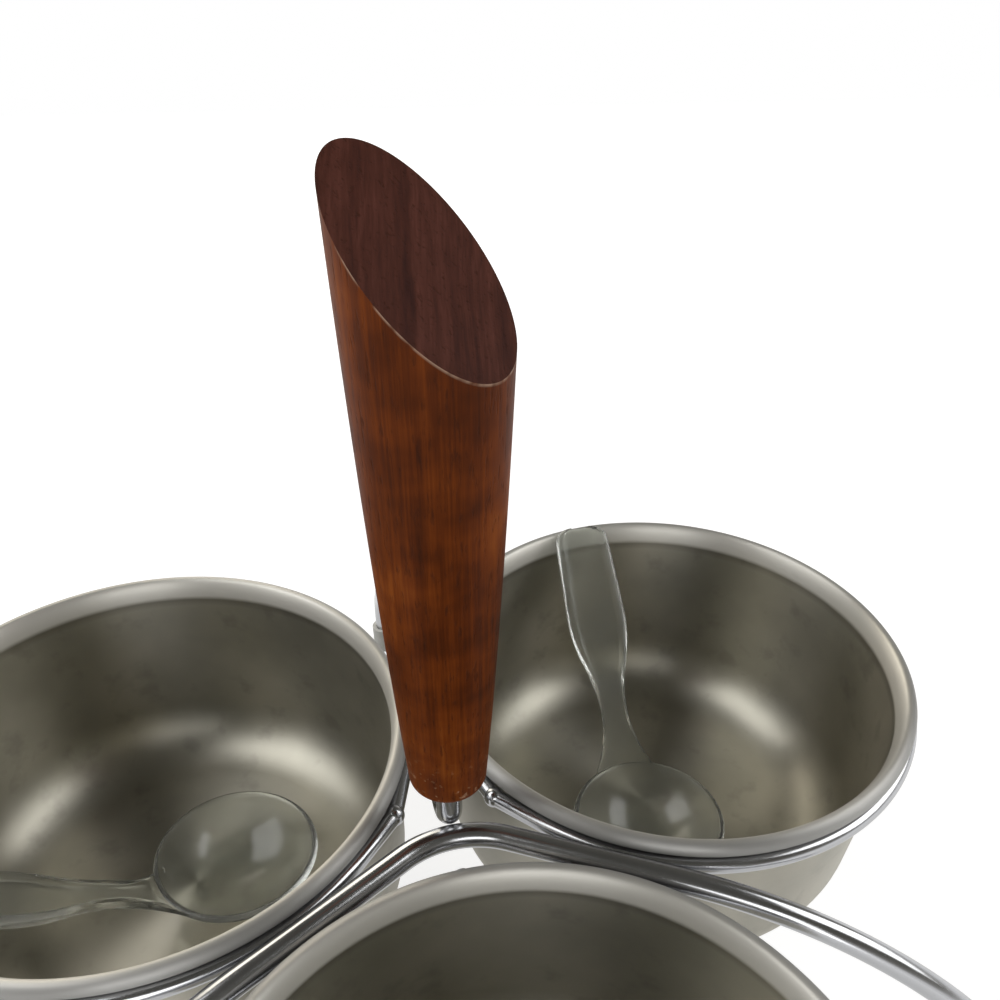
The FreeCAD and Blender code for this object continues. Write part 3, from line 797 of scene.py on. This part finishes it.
def oiled_wood(name, wood):
    """Reddish hardwood with its grain along the handle, worn at the base and chipped at the cut."""
    finish = Finish(name, IOR=WOOD_IOR, Specular_IOR_Level=wood["shine"],
                    Coat_Roughness=OIL_ROUGHNESS)
    place = finish.place((0, 0, HANDLE_BASE))
    warp = finish.noise(finish.place(stretch=WARP_STRETCH), WARP_SCALE)
    turned = finish.node("VectorRotate", {"rotation_type": "Z_AXIS"}, Vector=place,
                         Angle=LAYER_TURN)
    across = finish.along("X", turned) + WARP_REACH * warp
    rings = finish.node("TexNoise", {"noise_dimensions": "1D"}, W=across, Scale=RINGS_SCALE,
                        Detail=FINE, Roughness=CLOSE)
    layers = finish.vector("MULTIPLY", turned, LAYER_STRETCH)
    fibres = finish.noise(layers, FIBRE_SCALE, FINER, FIBRE_KEENNESS)
    pores = finish.noise(finish.place(stretch=PORE_STRETCH), PORE_SCALE, FINE, CLOSE)
    cloud = finish.noise(finish.place(stretch=CLOUD_STRETCH), CLOUD_SCALE, FINE, CLOSE)
    of_rings, of_fibres, of_cloud = wood["shares"]
    tone = of_rings * rings + of_fibres * fibres + of_cloud * cloud
    pit = finish.between(pores, *PORE_RANGE)
    colour = finish.mix(PORE_SHARE * pit, finish.ramp(tone, wood["stops"]), WOOD_PORE)
    worn = (finish.between(finish.noise(place, WORN_SCALE, FINE), *WORN_RANGE)
            * finish.between(finish.along("Z", place), *WORN_HEIGHTS))
    colour = finish.mix(WORN_SHARE * worn, colour, WOOD_WORN)
    if wood is SIDE_WOOD:
        below = finish.vector("SUBTRACT", finish.place(), CUT_POINT / MM)
        depth = finish.vector("DOT_PRODUCT", below, CUT_FACE, "Value")
        chip = (finish.between(depth, *CHIP_SPAN)
                * finish.between(finish.noise(place, CHIP_SCALE, FINE), *CHIP_RANGE))
        colour = finish.mix(CHIP_SHARE * chip, colour, WOOD_CHIP)
    finish.feed(Base_Color=colour)
    finish.feed(Roughness=WOOD_ROUGHNESS + FIBRE_ROUGHNESS * fibres + PORE_ROUGHNESS * pit)
    finish.feed(Coat_Weight=wood["oil"] + OIL_CLOUD * cloud)
    grain = finish.bump(fibres, FIBRE_DEPTH, FIBRE_STRENGTH)
    finish.feed(Normal=finish.bump(1.0 - pit, PORE_DEPTH, PORE_STRENGTH, Normal=grain))
    return finish.material


PLASTIC = opaque((0.93, 0.95, 0.91))
PLASTIC_IOR, PLASTIC_CLEARNESS, PLASTIC_ROUGHNESS = 1.4, 0.965, 0.14
RUB_SCALE, RUB_RANGE, RUB_ROUGHNESS = 0.25, (0.45, 0.75), 0.1
RUB_DEPTH, RUB_STRENGTH = 0.1 * MM, 0.2
SCUFF_SCALE, SCUFF_RANGE, SCUFF_ROUGHNESS = 2.5, (0.6, 0.75), 0.06


def clear_plastic():
    finish = Finish("clear_plastic", Base_Color=PLASTIC, IOR=PLASTIC_IOR,
                    Transmission_Weight=PLASTIC_CLEARNESS)
    place = finish.place()
    rub = finish.noise(place, RUB_SCALE, FINE)
    scuff = finish.noise(place, SCUFF_SCALE)
    finish.feed(Roughness=PLASTIC_ROUGHNESS
                + RUB_ROUGHNESS * finish.between(rub, *RUB_RANGE)
                + SCUFF_ROUGHNESS * finish.between(scuff, *SCUFF_RANGE))
    finish.feed(Normal=finish.bump(rub, RUB_DEPTH, RUB_STRENGTH))
    return finish.material


VINYL_DARK = opaque((0.50, 0.50, 0.48))
VINYL_LIGHT = opaque((0.66, 0.66, 0.63))
VINYL_IOR, VINYL_ROUGHNESS, GRAIN_ROUGHNESS = 1.5, 0.5, 0.2
GRAIN_SCALE, GRAIN_DEPTH, GRAIN_STRENGTH = 2.2, 0.05 * MM, 0.3
DUST_SCALE = 0.4


def soft_vinyl():
    finish = Finish("soft_vinyl", IOR=VINYL_IOR)
    place = finish.place()
    grain = finish.noise(place, GRAIN_SCALE, FINE)
    dust = finish.noise(place, DUST_SCALE, FINE)
    finish.feed(Base_Color=finish.mix(dust, VINYL_DARK, VINYL_LIGHT))
    finish.feed(Roughness=VINYL_ROUGHNESS + GRAIN_ROUGHNESS * grain)
    finish.feed(Normal=finish.bump(grain, GRAIN_DEPTH, GRAIN_STRENGTH))
    return finish.material


# The pieces, each with its materials, on its body


def dress(piece, materials, slot, body, *nodes):
    for material in materials:
        piece.data.materials.append(material)
    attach(piece, body)
    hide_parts(*nodes)


def build_object():
    bright, plastic, vinyl = [chrome()], [clear_plastic()], [soft_vinyl()]
    woods = [oiled_wood("oiled_wood", SIDE_WOOD), oiled_wood("cut_wood", CUT_WOOD)]
    dress(front_leg_wire(), bright, "chrome_wire", "frame", "front_leg_wire")
    dress(rear_leg_wire(), bright, "chrome_wire", "frame", "rear_leg_post_wire")
    dress(wood_handle(), woods, "dark_wood", "frame", "wood_handle")
    pattern, scoop, tip = bowl(), spoon(), foot_tip()
    for side in BOWL_AZIMUTHS:
        ring, bead = bowl_ring(side)
        dress(ring, bright, "chrome_wire", "frame", f"ring_{side}")
        dress(bead, bright, "chrome_wire", "frame", f"ring_weld_{side}")
        base = bowl_base(side)
        steel = [satin_steel(f"satin_steel_{side}", base)]
        shell = copy_of(pattern, f"bowl_{side}_shell", Matrix.Translation(base))
        dress(shell, steel, "satin_steel", f"bowl_{side}", f"bowl_{side}")
        server = copy_of(scoop, f"spoon_{side}_clear", spoon_placement(side))
        dress(server, plastic, "clear_plastic", f"spoon_{side}", f"spoon_{side}")
    for side, azimuth in LEG_AZIMUTHS.items():
        foot = copy_of(tip, f"tip_{side}", Matrix.Translation(polar(FOOT_CIRCLE, azimuth)))
        dress(foot, vinyl, "vinyl_tip", "frame", f"foot_tip_{side}")
    for piece in (pattern, scoop, tip):
        bpy.data.objects.remove(piece)


# Studio

FLOOR_SIZE = 2.0
FLOOR_GREY = opaque((0.4, 0.4, 0.4))
FLOOR_NEAR = opaque((0.8, 0.8, 0.8))
# Millimetres from the middle, over which the floor's glow rises to white
FLOOR_REACH = (200.0, 550.0)
FLOOR_MIRRORED = 0.78
# From the horizon to straight overhead
SKY_STOPS = ((0.0, WHITE), (0.1, WHITE), (0.22, (0.28, 0.27, 0.25)),
             (0.45, (0.12, 0.114, 0.098)), (1.0, (0.072, 0.07, 0.06)))
# Name, place, what it points at, width, watts and colour
LAMPS = (("key", (-0.6, 0.05, 0.7), (0, 0, 0.06), 0.7, 4, WHITE),
         ("fill", (0.7, -0.1, 0.6), (0, 0, 0.06), 0.6, 3.2, WHITE),
         ("back", (-0.25, 0.85, 0.5), (0, 0, 0.06), 0.6, 3, (1.0, 0.93, 0.8)),
         ("front", (-0.15, -0.8, 0.3), (0, 0, 0.1), 0.5, 2.2, WHITE))
# The photograph's view, fitted to its rims, wires and handle
VIEW_RIGHT = Vector((0.967506, -0.251323, 0.027727))
VIEW_UP = Vector((0.150149, 0.6593, 0.736735))
VIEW_BACK = Vector((-0.203439, -0.708632, 0.675613))
VIEW_PLACE = Vector((-15.73 * MM, -99.363 * MM, 189.645 * MM))
VIEW_SHIFT = (-0.02095, 0.16628)
SENSOR_WIDTH = 36.0
FOCAL_LENGTH = 0.85943 * SENSOR_WIDTH
NEAREST_SEEN = 5 * MM


def pale_floor():
    """A floor that is white to the eye and through the spoons, and a little greyer in the metal."""
    deselect()
    bpy.ops.mesh.primitive_plane_add(size=FLOOR_SIZE)
    floor = bpy.context.object
    floor.name = "floor"
    finish = Finish("pale_floor")
    seen = (finish.node("LightPath", out="Is Camera Ray")
            + FLOOR_MIRRORED * finish.node("LightPath", out="Is Glossy Ray")
            + finish.node("LightPath", out="Is Transmission Ray"))
    away = finish.between(finish.length(finish.place()), *FLOOR_REACH)
    glow = finish.mix(away, FLOOR_NEAR, opaque(WHITE))
    white = finish.node("Emission", Color=glow, Strength=seen)
    matt = finish.node("BsdfDiffuse", Color=FLOOR_GREY)
    both = finish.node("AddShader", i0=matt, i1=white)
    finish.tree.links.new(both.socket, finish.tree.nodes["Material Output"].inputs["Surface"])
    floor.data.materials.append(finish.material)


def studio_world():
    """White to the eye; what falls on the object is pale at the horizon and dim overhead."""
    world = bpy.data.worlds.new("studio")
    bpy.context.scene.world = world
    world.use_nodes = True
    sky = Nodes(world.node_tree)
    upwards = sky.along("Z", sky.node("TexCoord", out="Generated"))
    seen = sky.node("LightPath", out="Is Camera Ray")
    colour = sky.mix(seen, sky.ramp(upwards, SKY_STOPS), opaque(WHITE))
    sky.tree.links.new(colour.socket, sky.tree.nodes["Background"].inputs["Color"])


def soft_light(name, place, target, width, power, colour):
    lamp = bpy.data.lights.new(name, "AREA")
    lamp.shape = "SQUARE"
    lamp.size = width
    lamp.energy = power
    lamp.color = colour
    holder = bpy.data.objects.new(name, lamp)
    bpy.context.scene.collection.objects.link(holder)
    holder.location = place
    heading = Vector(target) - Vector(place)
    holder.rotation_euler = heading.to_track_quat("-Z", "Y").to_euler()


def camera():
    lens = bpy.data.cameras.new("view")
    holder = bpy.data.objects.new("view", lens)
    bpy.context.scene.collection.objects.link(holder)
    bpy.context.scene.camera = holder
    turn = Matrix((VIEW_RIGHT, VIEW_UP, VIEW_BACK)).transposed()
    holder.matrix_world = Matrix.Translation(VIEW_PLACE) @ turn.to_4x4()
    lens.sensor_width = SENSOR_WIDTH
    lens.lens = FOCAL_LENGTH
    lens.shift_x, lens.shift_y = VIEW_SHIFT
    lens.clip_start = NEAREST_SEEN


def studio():
    pale_floor()
    studio_world()
    for lamp in LAMPS:
        soft_light(*lamp)
    camera()
    bpy.context.scene.view_settings.view_transform = "Standard"


build_object()
studio()
